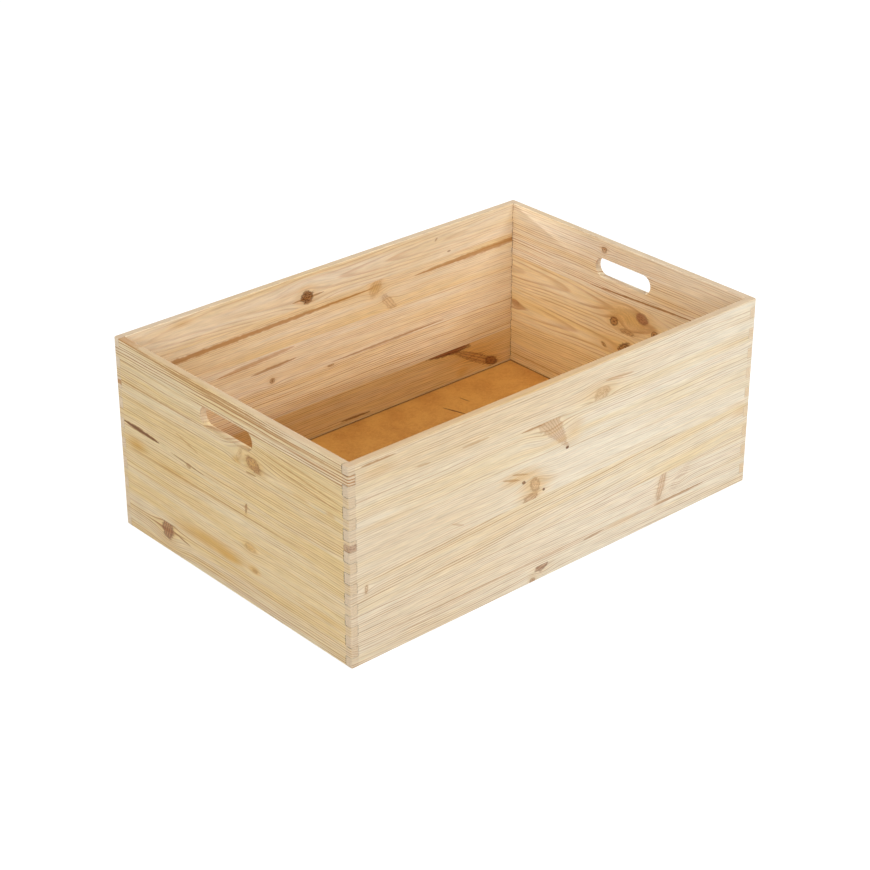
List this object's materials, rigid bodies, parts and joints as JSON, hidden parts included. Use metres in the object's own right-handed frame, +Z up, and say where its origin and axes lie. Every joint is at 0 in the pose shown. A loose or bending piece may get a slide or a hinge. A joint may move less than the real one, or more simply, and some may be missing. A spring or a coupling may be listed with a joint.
{
  "type": "open storage box",
  "caption": "Open-topped pine storage box with finger-jointed corners, edge-glued stave walls, a hand slot in each end and a hardboard floor let into a groove.",
  "frame": {"origin": "middle of the footprint, on the surface that the box stands on", "axes": "+X along the long walls, +Y across the box from the front wall to the back wall, +Z up"},
  "size_m": [0.6, 0.4, 0.235],
  "materials": {
    "pine": "planed and sanded, no coating",
    "hardboard": "smooth pressed face, satin"
  },
  "bodies": {
    "root": {"front_stave_1": "pine", "front_stave_2": "pine", "front_stave_3": "pine", "front_stave_4": "pine", "front_stave_5": "pine", "front_stave_6": "pine", "back_stave_1": "pine", "back_stave_2": "pine", "back_stave_3": "pine", "back_stave_4": "pine", "back_stave_5": "pine", "back_stave_6": "pine", "left_stave_1": "pine", "left_stave_2": "pine", "left_stave_3": "pine", "left_stave_4": "pine", "left_stave_5": "pine", "left_stave_6": "pine", "right_stave_1": "pine", "right_stave_2": "pine", "right_stave_3": "pine", "right_stave_4": "pine", "right_stave_5": "pine", "right_stave_6": "pine", "floor_panel": "hardboard"}
  },
  "joints": []
}
